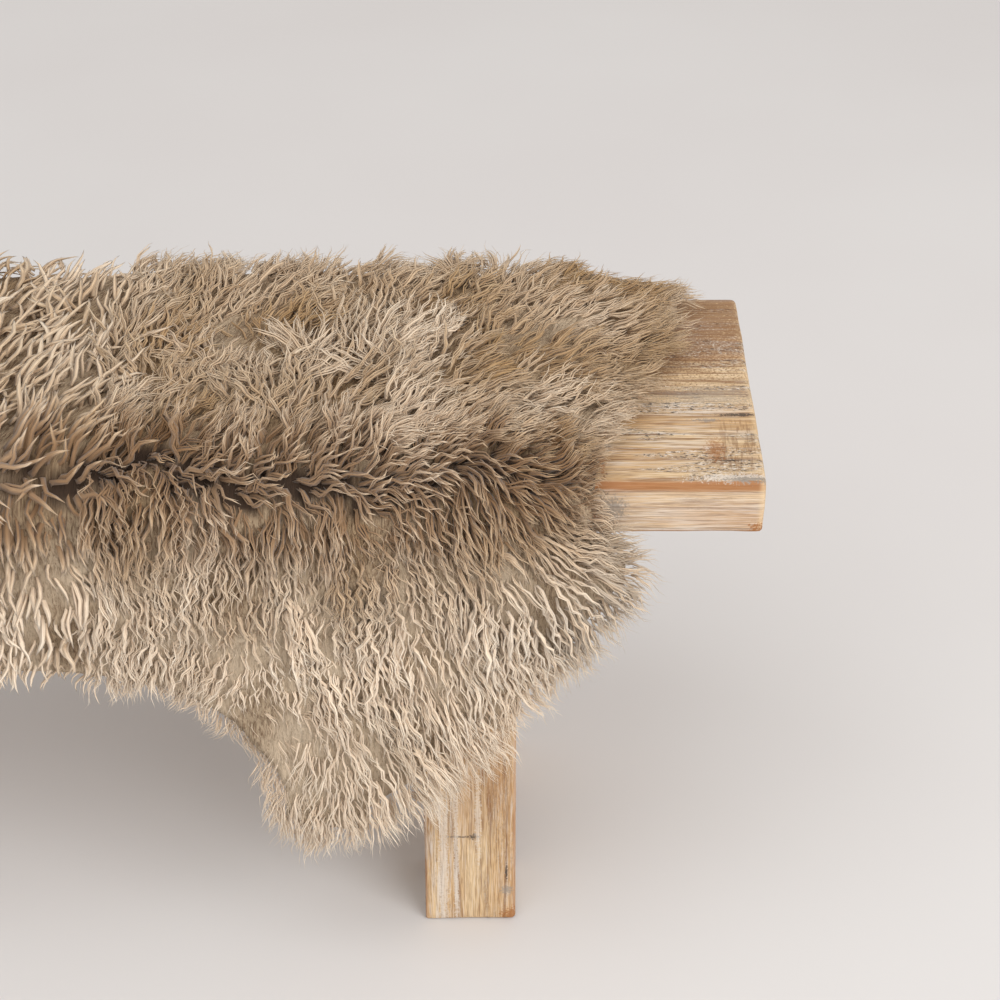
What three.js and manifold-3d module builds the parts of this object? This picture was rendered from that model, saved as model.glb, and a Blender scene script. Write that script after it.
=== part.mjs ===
// A double sheepskin rug lying along a rustic wooden bench and falling over its front and back edges.
// Millimetres, +Z up. +X runs along the bench to its right end, and -Y is the front, over which the
// longer side of the rug hangs. The origin is under the middle of the whole thing, on the floor.
import * as THREE from "three";
import { mergeVertices } from "three/addons/utils/BufferGeometryUtils.js";
import Module from "manifold-3d";

const wasm = await Module();
wasm.setup();

// Bench: one thick plank on four square posts, every edge worn round.
const seatLength = 2000;
const seatDepth = 285;
const seatThickness = 49;
const seatTop = 480;
const seatWear = 7;
const legWidth = 80;
const legFromEnd = 190;
const legFromFace = 19;
const legWear = 4;

// Clearances between separate pieces.
const touchGap = 0.3;
const edgeClearance = 2.5;
const faceClearance = 3;

// Rug: two pelts sewn rump to rump, each running from the seam to a neck end.
const seamX = 10;
const bendRadius = 14.5;
const woolLoft = 43;
const rimLoft = 14;
const rimFade = 70;
const creaseLoft = 17;
const creaseWidth = 24;
const creaseDepth = 0.85;
const creaseWander = [
  { swing: 5, reach: 47, phase: 0 },
  { swing: 4, reach: 19, phase: 2 },
];

// The hide rises to its clearance over this run before the edge, and below it sways in to the legs.
const liftRun = 40;
const sway = { least: 3, most: 15, wave: 270, phase: 1.2, drop: 300, curve: 1.3 };

// Grid of each pelt: columns along the bench, rows across it.
const columns = 30;
const columnCrowding = 0.35;
const backDropRows = 4;
const bendRows = 4;
const topRows = 9;
const frontDropRows = 10;

// Rim locks: narrow strips along the edge of each pelt carry them.
const frontEdgeStrips = 4;
const backEdgeStrips = 3;
const stripGap = 0.6;
const stripWidth = 9;
const stripHeight = 11;
const stripFoot = 0.2;
const stripShoulder = 0.8;
const lockPitch = 25;
const lockLength = 40;
const lockRoot = 8;
const lockLean = 0.12;
const lockOverHide = 0.6;
const lockWave = 1.2;
const lockHang = 5;
const lockVariation = 0.18;
const mergeDistance = 1e-3;

// Sections of a lock from its root to its tip. It starts a share of the strip's width into the strip,
// runs out by a share of its length, and its width and height are shares of the root's width.
const lockSections = [
  { strip: 0.35, run: 0, width: 1, height: 0.62 },
  { strip: 1, run: 0.42, width: 0.72, height: 0.5 },
  { strip: 1, run: 0.78, width: 0.4, height: 0.3 },
  { strip: 1, run: 1, width: 0, height: 0 },
];

// How fast a lock's length and lean change from seed to seed, and how far apart the seeds are.
const seedPace = { length: [12.9898, 4.1414], lean: 7.31 };
const seedStep = { edge: 40, strip: 11, side: 7 };

// How far each pelt's long edges hang below the seat's top, by the share of the way from the seam to
// the neck end. The hind legs swell the edge near the seam, and the forelegs hang as the long lobes.
const rightPelt = {
  side: 1,
  frontEdge: [
    { share: 0, drop: 205 },
    { share: 0.1, drop: 222 },
    { share: 0.24, drop: 196 },
    { share: 0.42, drop: 155 },
    { share: 0.56, drop: 150 },
    { share: 0.665, drop: 165 },
    { share: 0.775, drop: 218 },
    { share: 0.852, drop: 260 },
    { share: 0.915, drop: 299 },
    { share: 1, drop: 316 },
  ],
  backEdge: [
    { share: 0, drop: 96 },
    { share: 0.12, drop: 112 },
    { share: 0.3, drop: 74 },
    { share: 0.5, drop: 48 },
    { share: 0.66, drop: 52 },
    { share: 0.8, drop: 84 },
    { share: 0.92, drop: 120 },
    { share: 1, drop: 128 },
  ],
  // The end's distance from the seam, by the distance across the rug: below 0 lies on the seat.
  neckEnd: [
    { across: -413, reach: 690 },
    { across: -370, reach: 770 },
    { across: -325, reach: 862 },
    { across: -285, reach: 904 },
    { across: -245, reach: 911 },
    { across: -145, reach: 881 },
    { across: -60, reach: 846 },
    { across: 0, reach: 834 },
    { across: 45, reach: 836 },
    { across: 72, reach: 860 },
    { across: 111, reach: 836 },
    { across: 161, reach: 801 },
    { across: 213, reach: 766 },
    { across: 245, reach: 733 },
    { across: 277, reach: 699 },
    { across: 316, reach: 652 },
  ],
};
const leftPelt = {
  side: -1,
  frontEdge: [
    { share: 0, drop: 205 },
    { share: 0.11, drop: 216 },
    { share: 0.27, drop: 188 },
    { share: 0.45, drop: 142 },
    { share: 0.6, drop: 134 },
    { share: 0.72, drop: 156 },
    { share: 0.84, drop: 212 },
    { share: 0.93, drop: 252 },
    { share: 1, drop: 262 },
  ],
  backEdge: [
    { share: 0, drop: 96 },
    { share: 0.1, drop: 108 },
    { share: 0.28, drop: 82 },
    { share: 0.5, drop: 62 },
    { share: 0.66, drop: 74 },
    { share: 0.8, drop: 118 },
    { share: 0.92, drop: 158 },
    { share: 1, drop: 166 },
  ],
  neckEnd: [
    { across: -451, reach: 676 },
    { across: -400, reach: 752 },
    { across: -340, reach: 828 },
    { across: -285, reach: 862 },
    { across: -200, reach: 896 },
    { across: -120, reach: 903 },
    { across: -50, reach: 880 },
    { across: 10, reach: 852 },
    { across: 70, reach: 838 },
    { across: 130, reach: 806 },
    { across: 190, reach: 752 },
    { across: 235, reach: 706 },
    { across: 262, reach: 664 },
  ],
};

// Swells and hollows that show in the wool on the seat, and the small lumps that cover all of it.
const swells = [
  { x: 684, across: -128, radius: 62, height: 9 },
  { x: 730, across: -205, radius: 42, height: -11 },
  { x: 578, across: -155, radius: 46, height: -10 },
  { x: 560, across: -70, radius: 50, height: 6 },
  { x: 820, across: -150, radius: 55, height: 5 },
  { x: 180, across: -120, radius: 80, height: 7 },
  { x: -260, across: -170, radius: 70, height: -8 },
  { x: -520, across: -110, radius: 75, height: 8 },
];
const lumps = [
  { alongWave: 92, acrossWave: 128, height: 3.4, phase: 0.4 },
  { alongWave: 146, acrossWave: -83, height: 3, phase: 2.1 },
  { alongWave: 61, acrossWave: 205, height: 2.2, phase: 4.3 },
];

// Reads a table of rows at a value between its keys, along a smooth curve through its points.
function readTable(table, key, column, value) {
  const last = table.length - 1;
  if (value <= table[0][key]) return table[0][column];
  if (value >= table[last][key]) return table[last][column];
  const i = table.findIndex((row) => row[key] > value) - 1;
  const at = (n) => table[THREE.MathUtils.clamp(n, 0, last)];
  const slope = (n) => {
    const rise = at(n + 1)[column] - at(n - 1)[column];
    return rise / (at(n + 1)[key] - at(n - 1)[key]);
  };
  const span = at(i + 1)[key] - at(i)[key];
  const s = (value - at(i)[key]) / span;
  const start = at(i)[column] * (1 + 2 * s) * (1 - s) ** 2 + slope(i) * span * s * (1 - s) ** 2;
  return start + at(i + 1)[column] * (3 - 2 * s) * s ** 2 - slope(i + 1) * span * (1 - s) * s ** 2;
}

const bendStart = bendRadius - faceClearance;
const bendEnd = bendRadius - edgeClearance;

// Across the rug, the flesh side of the hide lies on the seat, bends over its edge and hangs down.
// Returns a point on that side and the direction out of the wool, for a pelt position (x, across).
function hideAt(x, across) {
  const back = across < -seatDepth / 2;
  const out = back ? -1 : 1;
  const from = back ? -seatDepth - across : across;
  const swayShare = 0.5 + 0.5 * Math.sin((2 * Math.PI * x) / sway.wave + sway.phase);
  const swayHere = THREE.MathUtils.lerp(sway.least, sway.most, swayShare);
  let inward;
  let height;
  let turn;
  if (from < -bendStart) {
    inward = -from;
    turn = 0;
    const nearEdge = THREE.MathUtils.smoothstep(from, -bendStart - liftRun, -bendStart);
    height = THREE.MathUtils.lerp(touchGap, edgeClearance, nearEdge);
  } else if (from < bendEnd) {
    turn = ((from + bendStart) / (bendEnd + bendStart)) * (Math.PI / 2);
    inward = bendStart - bendRadius * Math.sin(turn);
    height = edgeClearance - bendRadius * (1 - Math.cos(turn));
  } else {
    turn = Math.PI / 2;
    inward = -faceClearance - swayHere * ((from - bendEnd) / sway.drop) ** sway.curve;
    height = -from;
  }
  const y = out * (inward - seatDepth / 2);
  return {
    point: new THREE.Vector3(x, y, seatTop + height),
    normal: new THREE.Vector3(0, -out * Math.sin(turn), Math.cos(turn)),
  };
}

// The wool's height over the flesh side: lumpy, thin at the free rim and parted along the front edge.
function loftAt(x, across, rimDistance) {
  let loft = woolLoft;
  for (const s of swells) {
    const distance = Math.hypot(x - s.x, across - s.across) / s.radius;
    loft += s.height * Math.exp(-(distance ** 2));
  }
  for (const l of lumps) {
    const wave = x / l.alongWave + across / l.acrossWave;
    loft += l.height * Math.sin(2 * Math.PI * wave + l.phase);
  }
  const wander = creaseWander.reduce((sum, w) => sum + w.swing * Math.sin(x / w.reach + w.phase), 0);
  const crease = Math.exp(-(((across - wander) / creaseWidth) ** 2));
  loft = THREE.MathUtils.lerp(loft, creaseLoft, creaseDepth * crease);
  const rim = THREE.MathUtils.smootherstep(rimDistance, 0, rimFade);
  return THREE.MathUtils.lerp(rimLoft, loft, Math.sqrt(rim));
}

// Rows across the rug for one column: over the back, on the seat and over the front.
function acrossRows(frontDrop, backDrop) {
  const rows = [];
  const run = (from, to, count) => {
    for (let i = 0; i < count; i++) rows.push(from + ((to - from) * i) / count);
  };
  run(-seatDepth - backDrop, -seatDepth - bendEnd, backDropRows);
  run(-seatDepth - bendEnd, -seatDepth + bendStart, bendRows);
  run(-seatDepth + bendStart, -bendStart, topRows);
  run(-bendStart, bendEnd, bendRows);
  run(bendEnd, frontDrop, frontDropRows);
  rows.push(frontDrop);
  return rows;
}

// A pelt as a grid of places (x, across), with the share of the way to the neck end for each column.
function peltGrid(pelt) {
  const grid = [];
  for (let c = 0; c <= columns; c++) {
    const even = c / columns;
    const share = THREE.MathUtils.lerp(even, Math.sin((even * Math.PI) / 2), columnCrowding);
    const frontDrop = readTable(pelt.frontEdge, "share", "drop", share);
    const backDrop = readTable(pelt.backEdge, "share", "drop", share);
    const rows = acrossRows(frontDrop, backDrop).map((across) => {
      const reach = readTable(pelt.neckEnd, "across", "reach", across);
      return { x: seamX + pelt.side * (touchGap / 2 + share * reach), across };
    });
    grid.push(rows);
  }
  return grid;
}

// The free rim of a pelt's grid, in order: along the front, up the neck end and along the back.
function rimOf(grid) {
  const lastRow = grid[0].length - 1;
  const front = grid.map((column) => column[lastRow]);
  const end = grid[columns].slice(0, lastRow).reverse();
  const back = grid.slice(0, columns).reverse().map((column) => column[0]);
  return { front, end, back };
}

function toGeometry(positions, triangles, mirrored) {
  const ordered = mirrored ? triangles.map(([a, b, c]) => [a, c, b]) : triangles;
  const geometry = new THREE.BufferGeometry();
  const flat = positions.flatMap((p) => p.toArray());
  geometry.setAttribute("position", new THREE.Float32BufferAttribute(flat, 3));
  geometry.setIndex(ordered.flat());
  geometry.computeVertexNormals();
  return geometry;
}

// One pelt as a lumpy slab: its flesh side, its wool side and the wall along its edges.
function peltGeometry(pelt, grid) {
  const { front, end, back } = rimOf(grid);
  const rim = [...front, ...end, ...back];
  const rowCount = grid[0].length;
  const inner = [];
  const outer = [];
  for (const column of grid) {
    for (const { x, across } of column) {
      const rimDistance = Math.min(...rim.map((r) => Math.hypot(r.x - x, r.across - across)));
      const { point, normal } = hideAt(x, across);
      inner.push(point);
      outer.push(point.clone().addScaledVector(normal, loftAt(x, across, rimDistance)));
    }
  }
  const index = (c, r) => c * rowCount + r;
  const above = inner.length;
  const triangles = [];
  const quad = (a, b, c, d) => triangles.push([a, b, c], [a, c, d]);
  for (let c = 0; c < columns; c++) {
    for (let r = 0; r < rowCount - 1; r++) {
      quad(index(c, r), index(c + 1, r), index(c + 1, r + 1), index(c, r + 1));
      const [p, q, s, t] = [index(c, r), index(c, r + 1), index(c + 1, r + 1), index(c + 1, r)];
      quad(p + above, q + above, s + above, t + above);
    }
  }
  const wall = (a, b) => quad(a, b, b + above, a + above);
  for (let c = 0; c < columns; c++) {
    wall(index(c + 1, 0), index(c, 0));
    wall(index(c, rowCount - 1), index(c + 1, rowCount - 1));
  }
  for (let r = 0; r < rowCount - 1; r++) {
    wall(index(0, r), index(0, r + 1));
    wall(index(columns, r + 1), index(columns, r));
  }
  return toGeometry([...inner, ...outer], triangles, pelt.side < 0);
}

function toSolid(geometry) {
  const bare = new THREE.BufferGeometry();
  bare.setAttribute("position", geometry.getAttribute("position"));
  bare.setIndex(geometry.getIndex());
  const merged = mergeVertices(bare, mergeDistance);
  return new wasm.Manifold(
    new wasm.Mesh({
      numProp: 3,
      vertProperties: merged.attributes.position.array,
      triVerts: new Uint32Array(merged.index.array),
    }),
  );
}

function fromSolid(solid) {
  const mesh = solid.getMesh();
  const geometry = new THREE.BufferGeometry();
  geometry.setAttribute("position", new THREE.BufferAttribute(new Float32Array(mesh.vertProperties), 3));
  geometry.setIndex(new THREE.BufferAttribute(new Uint32Array(mesh.triVerts), 1));
  geometry.computeVertexNormals();
  return geometry;
}

// A closed bar whose rings each hold the same number of corners; a ring of one corner makes a point.
function barGeometry(rings, mirrored) {
  const positions = rings.flat();
  const starts = [];
  rings.reduce((start, ring) => starts.push(start) && start + ring.length, 0);
  const corners = rings[0].length;
  const triangles = [];
  for (let i = 0; i < rings.length - 1; i++) {
    for (let k = 0; k < corners; k++) {
      const a = starts[i] + k;
      const b = starts[i] + ((k + 1) % corners);
      if (rings[i + 1].length === 1) triangles.push([a, b, starts[i + 1]]);
      else {
        const c = starts[i + 1] + ((k + 1) % corners);
        triangles.push([a, b, c], [a, c, starts[i + 1] + k]);
      }
    }
  }
  for (let k = 1; k < corners - 1; k++) {
    triangles.push([0, k + 1, k]);
    const end = starts[rings.length - 1];
    if (rings[rings.length - 1].length > 1) triangles.push([end, end + k, end + k + 1]);
  }
  return toGeometry(positions, triangles, mirrored);
}

// A strip along part of a pelt's rim, with the wool locks that stand out from it. The places run in
// the rim's order, so that the open side is on a known hand.
function rimStripGeometry(pelt, places, seed) {
  const frames = places.map(({ x, across }, i) => {
    const { point, normal } = hideAt(x, across);
    const before = places[Math.max(i - 1, 0)];
    const after = places[Math.min(i + 1, places.length - 1)];
    const along = hideAt(after.x, after.across).point.sub(hideAt(before.x, before.across).point).normalize();
    const outward = new THREE.Vector3().crossVectors(along, normal).multiplyScalar(pelt.side).normalize();
    return { point, normal, along, outward };
  });
  const corner = (f, out, up) => {
    return f.point.clone().addScaledVector(f.outward, out).addScaledVector(f.normal, up);
  };
  const rings = frames.map((f) => [
    corner(f, stripGap, stripFoot),
    corner(f, stripGap + stripWidth, stripFoot),
    corner(f, stripGap + stripWidth, stripHeight * stripShoulder),
    corner(f, stripGap, stripHeight),
  ]);
  let solid = toSolid(barGeometry(rings, pelt.side > 0));
  const spans = frames.slice(1).map((f, i) => f.point.distanceTo(frames[i].point));
  const total = spans.reduce((sum, span) => sum + span, 0);
  const count = Math.max(1, Math.round(total / lockPitch));
  for (let n = 0; n < count; n++) {
    let run = ((n + 0.5) * total) / count;
    let i = 0;
    while (run > spans[i]) run -= spans[i++];
    solid = solid.add(toSolid(lockGeometry(frames[i], frames[i + 1], run / spans[i], seed + n)));
  }
  return fromSolid(solid);
}

// Shares the places out among a number of stretches, with a gap of one cell from each to the next.
function inStretches(places, count) {
  const starts = [...Array(count + 1).keys()].map((n) => Math.round((n * places.length) / count));
  return starts.slice(1).map((stop, n) => places.slice(starts[n], stop));
}

// One lock: four-sided, broad at its root in the strip and bent to a point. Locks differ by a seed.
function lockGeometry(from, to, share, seed) {
  const mix = (key) => from[key].clone().lerp(to[key], share);
  const [root, normal, along, outward] = [mix("point"), mix("normal"), mix("along"), mix("outward")];
  const vary = THREE.MathUtils.lerp(...seedPace.length.map((pace) => Math.sin(seed * pace)), 0.5);
  const length = lockLength * (1 + lockVariation * vary);
  const lean = lockLean * Math.sin(seed * seedPace.lean);
  const hangs = normal.z < 0.5;
  const rings = lockSections.map((section, i) => {
    const out = stripWidth * section.strip + length * section.run;
    const [width, height] = [lockRoot * section.width, lockRoot * section.height];
    const bend = (out / length) ** 2;
    const centre = root
      .clone()
      .addScaledVector(outward, stripGap + out)
      .addScaledVector(normal, lockOverHide + lockRoot * lockSections[0].height + (i % 2) * lockWave)
      .addScaledVector(along, lean * length * bend);
    if (hangs) centre.z -= lockHang * bend;
    if (width === 0) return [centre];
    const at = (w, h) => centre.clone().addScaledVector(along, w).addScaledVector(normal, h);
    return [at(-width / 2, 0), at(0, -height), at(width / 2, 0), at(0, height)];
  });
  const forward = new THREE.Vector3().crossVectors(along, normal).dot(outward) > 0;
  return barGeometry(rings, !forward);
}

// A timber with its twelve edges worn to a flat of the given width, standing on its own bottom face.
function timberGeometry(length, depth, height, wear) {
  const flat = new THREE.Shape();
  const [a, b] = [length / 2, depth / 2];
  const outline = [
    [-a + wear, -b], [a - wear, -b], [a, -b + wear], [a, b - wear],
    [a - wear, b], [-a + wear, b], [-a, b - wear], [-a, -b + wear],
  ];
  flat.setFromPoints(outline.map(([x, y]) => new THREE.Vector2(x, y)));
  return new THREE.ExtrudeGeometry(flat, {
    depth: height - 2 * wear,
    bevelEnabled: true,
    bevelThickness: wear,
    bevelSize: wear,
    bevelOffset: -wear,
    bevelSegments: 1,
  }).translate(0, 0, wear);
}

const wood = { color: 0xcfa878, roughness: 0.72, metalness: 0 };
const wool = { color: 0xa98f72, roughness: 0.95, metalness: 0 };
const woolTips = { color: 0xc4ad90, roughness: 0.95, metalness: 0 };
const model = new THREE.Group();

function addMesh(name, geometry, material) {
  const mesh = new THREE.Mesh(geometry, new THREE.MeshStandardMaterial(material));
  mesh.name = name;
  model.add(mesh);
  return mesh;
}

const seat = addMesh("seat", timberGeometry(seatLength, seatDepth, seatThickness, seatWear), wood);
seat.position.z = seatTop - seatThickness;

const legHeight = seatTop - seatThickness - touchGap;
for (const [endName, endSide] of [["left", -1], ["right", 1]]) {
  for (const [faceName, faceSide] of [["front", -1], ["back", 1]]) {
    const post = timberGeometry(legWidth, legWidth, legHeight, legWear);
    const leg = addMesh(`leg_${faceName}_${endName}`, post, wood);
    leg.position.x = endSide * (seatLength / 2 - legFromEnd - legWidth / 2);
    leg.position.y = faceSide * (seatDepth / 2 - legFromFace - legWidth / 2);
  }
}

for (const [name, pelt] of [["right", rightPelt], ["left", leftPelt]]) {
  const grid = peltGrid(pelt);
  addMesh(`pelt_${name}`, peltGeometry(pelt, grid), wool);
  const { front, end, back } = rimOf(grid);
  const overFront = end.filter((place) => place.across > bendEnd);
  const flatHalf = seatDepth / 2 - bendStart + stripGap;
  const onSeat = end.filter((place) => Math.abs(place.across + seatDepth / 2) <= flatHalf);
  const overBack = end.filter((place) => place.across < -seatDepth - bendEnd);
  // The strips along the two long edges stop one column short of the seam.
  const edges = [
    { part: "front_edge", places: front.slice(1), strips: frontEdgeStrips },
    { part: "front_end", places: overFront, strips: 1 },
    { part: "top_end", places: onSeat, strips: 1 },
    { part: "back_end", places: overBack, strips: 1 },
    { part: "back_edge", places: back.slice(0, -1), strips: backEdgeStrips },
  ];
  for (const [i, { part, places, strips }] of edges.entries()) {
    inStretches(places, strips).forEach((stretch, n) => {
      const number = strips > 1 ? `_${n + 1}` : "";
      const seed = seedStep.edge * i + seedStep.strip * n + seedStep.side * pelt.side;
      addMesh(`locks_${part}_${name}${number}`, rimStripGeometry(pelt, stretch, seed), woolTips);
    });
  }
}

// The whole thing stands on the floor with the middle of its extent over the origin.
const extent = new THREE.Box3().setFromObject(model);
const middle = extent.getCenter(new THREE.Vector3());
model.position.set(-middle.x, -middle.y, 0);

export default model;
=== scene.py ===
import math

import bpy
import numpy as np
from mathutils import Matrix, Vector, noise


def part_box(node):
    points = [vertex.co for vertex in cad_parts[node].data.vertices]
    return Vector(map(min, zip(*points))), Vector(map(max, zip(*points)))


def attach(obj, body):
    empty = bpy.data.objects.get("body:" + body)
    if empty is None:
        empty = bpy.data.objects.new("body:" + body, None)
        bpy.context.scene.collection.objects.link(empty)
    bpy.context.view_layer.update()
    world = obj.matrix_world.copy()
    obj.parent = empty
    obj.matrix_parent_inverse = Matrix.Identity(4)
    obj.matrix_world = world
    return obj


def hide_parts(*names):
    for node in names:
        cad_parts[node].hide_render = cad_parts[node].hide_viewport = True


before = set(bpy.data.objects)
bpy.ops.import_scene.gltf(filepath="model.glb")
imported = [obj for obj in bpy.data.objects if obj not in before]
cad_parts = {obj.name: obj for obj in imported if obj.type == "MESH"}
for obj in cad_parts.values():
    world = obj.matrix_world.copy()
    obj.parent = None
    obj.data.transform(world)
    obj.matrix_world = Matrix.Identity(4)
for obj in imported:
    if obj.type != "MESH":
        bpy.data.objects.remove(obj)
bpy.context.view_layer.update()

# The camera stands in front of the bench near its right end, a metre above the seat, and looks
# down at the corner where the rug falls over the front edge.
seat_low, seat_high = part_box("seat")
VIEW_PITCH = math.radians(34.4)
VIEW_FROM_END, VIEW_FROM_FRONT, VIEW_ABOVE_SEAT = 0.204, 1.494, 1.006


def in_scene(name, data):
    """An object made from a mesh, a lamp or a camera, and linked into the scene."""
    thing = bpy.data.objects.new(name, data)
    bpy.context.collection.objects.link(thing)
    return thing


lens = bpy.data.cameras.new("photo_view")
lens.lens = 85
lens.sensor_width = 36
camera = in_scene("photo_view", lens)
camera.location = (
    seat_high.x - VIEW_FROM_END,
    seat_low.y - VIEW_FROM_FRONT,
    seat_high.z + VIEW_ABOVE_SEAT,
)
camera.rotation_euler = (math.pi / 2 - VIEW_PITCH, 0, 0)
bpy.context.scene.camera = camera


# Bench seat: one thick plank of old softwood, sawn, once painted pale and scrubbed back, so that
# paint is left only in the grain and pits, and every arris is worn round and darker.
SEAT_WEAR, SEAT_CELL = 0.0045, 0.02
WOOD_PALE, WOOD_TAN, WOOD_LINE = (0xDF, 0xC3, 0x9A), (0xCC, 0xA6, 0x76), (0x82, 0x5C, 0x3A)
WOOD_WORN, WOOD_PAINT = (0x9C, 0x62, 0x2C), (0xDE, 0xD3, 0xC6)
WOOD_GREY, WOOD_PIT = (0x8E, 0x84, 0x7A), (0x46, 0x3C, 0x34)


def linear(rgb):
    """A colour as a screen shows it, from 0 to 255, as the light that it stands for."""
    shares = [c / 255 for c in rgb]
    return tuple(c / 12.92 if c < 0.04045 else ((c + 0.055) / 1.055) ** 2.4 for c in shares) + (1,)


class Signal:
    """A socket in a material. Sums and products of signals add the Math nodes that work them out."""

    def __init__(self, finish, socket):
        self.finish, self.socket = finish, socket

    def math(self, operation, *others):
        sockets = dict(enumerate((self, *others)))
        node = self.finish.node("Math", {"operation": operation}, sockets)
        return Signal(self.finish, node.outputs[0])

    def __add__(self, other):
        return self.math("ADD", other)

    def __sub__(self, other):
        return self.math("SUBTRACT", other)

    def __rsub__(self, other):
        return (self * -1) + other

    def __mul__(self, other):
        return self.math("MULTIPLY", other)

    def __pow__(self, other):
        return self.math("POWER", other)

    __radd__ = __add__
    __rmul__ = __mul__

    def step(self, low, high):
        """0 below low, 1 above high, and smooth between them; falling where low is above high."""
        ends = {"From Min": low, "From Max": high}
        if low > high:
            ends = {"From Min": high, "From Max": low, "To Min": 1, "To Max": 0}
        node = self.finish.node(
            "MapRange", {"interpolation_type": "SMOOTHSTEP"}, {"Value": self, **ends}
        )
        return Signal(self.finish, node.outputs[0])


class Finish:
    """A material that is built up node by node around one Principled shader."""

    def __init__(self, name, colour, **constants):
        self.colour = linear(colour)
        self.material = bpy.data.materials.new(name)
        self.material.use_nodes = True
        self.tree = self.material.node_tree
        self.shader = self.tree.nodes["Principled BSDF"]
        for socket, value in constants.items():
            self.shader.inputs[socket.replace("_", " ")].default_value = value

    def node(self, kind, settings=None, sockets=None):
        node = self.tree.nodes.new("ShaderNode" + kind)
        for name, value in (settings or {}).items():
            setattr(node, name, value)
        for key, value in (sockets or {}).items():
            self.feed(node.inputs[key], value)
        return node

    def feed(self, socket, value):
        value = value.socket if isinstance(value, Signal) else value
        if isinstance(value, bpy.types.NodeSocket):
            self.tree.links.new(value, socket)
        else:
            socket.default_value = value

    def attribute(self, name, output="Fac"):
        return Signal(self, self.node("Attribute", {"attribute_name": name}).outputs[output])

    def spot(self, place, centre, size, ragged):
        """1 at a centre, falling to 0 with a ragged edge at distances from it along X, Y and Z."""
        away = self.node("VectorMath", {"operation": "SUBTRACT"}, {0: place, 1: centre}).outputs[0]
        away = self.node("VectorMath", {"operation": "DIVIDE"}, {0: away, 1: size}).outputs[0]
        length = self.node("VectorMath", {"operation": "LENGTH"}, {0: away}).outputs["Value"]
        return (Signal(self, length) + ragged).step(1.0, 0.45)

    def place(self):
        return self.node("TexCoord").outputs["Object"]

    def stretched(self, place, scale, offset=(0, 0, 0)):
        sockets = {"Vector": place, "Scale": scale, "Location": offset}
        return self.node("Mapping", None, sockets).outputs[0]

    def noise(self, place, scale, detail=3, roughness=0.55, distortion=0):
        sockets = {"Vector": place, "Scale": scale, "Detail": detail, "Roughness": roughness}
        node = self.node("TexNoise", None, {**sockets, "Distortion": distortion})
        return Signal(self, node.outputs["Fac"])

    def coat(self, share, over, blend="MIX"):
        """Covers the colour so far, by a share of 0 to 1, with another colour or with a socket's."""
        over = linear(over) if isinstance(over, tuple) else over
        settings = {"data_type": "RGBA", "blend_type": blend}
        self.colour = self.node("Mix", settings, {"Factor": share, 6: self.colour, 7: over}).outputs[2]
        self.feed(self.shader.inputs["Base Color"], self.colour)

    def bump(self, height, strength, distance):
        node = self.node("Bump", None, {"Height": height, "Strength": strength, "Distance": distance})
        self.feed(self.shader.inputs["Normal"], node.outputs[0])


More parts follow.
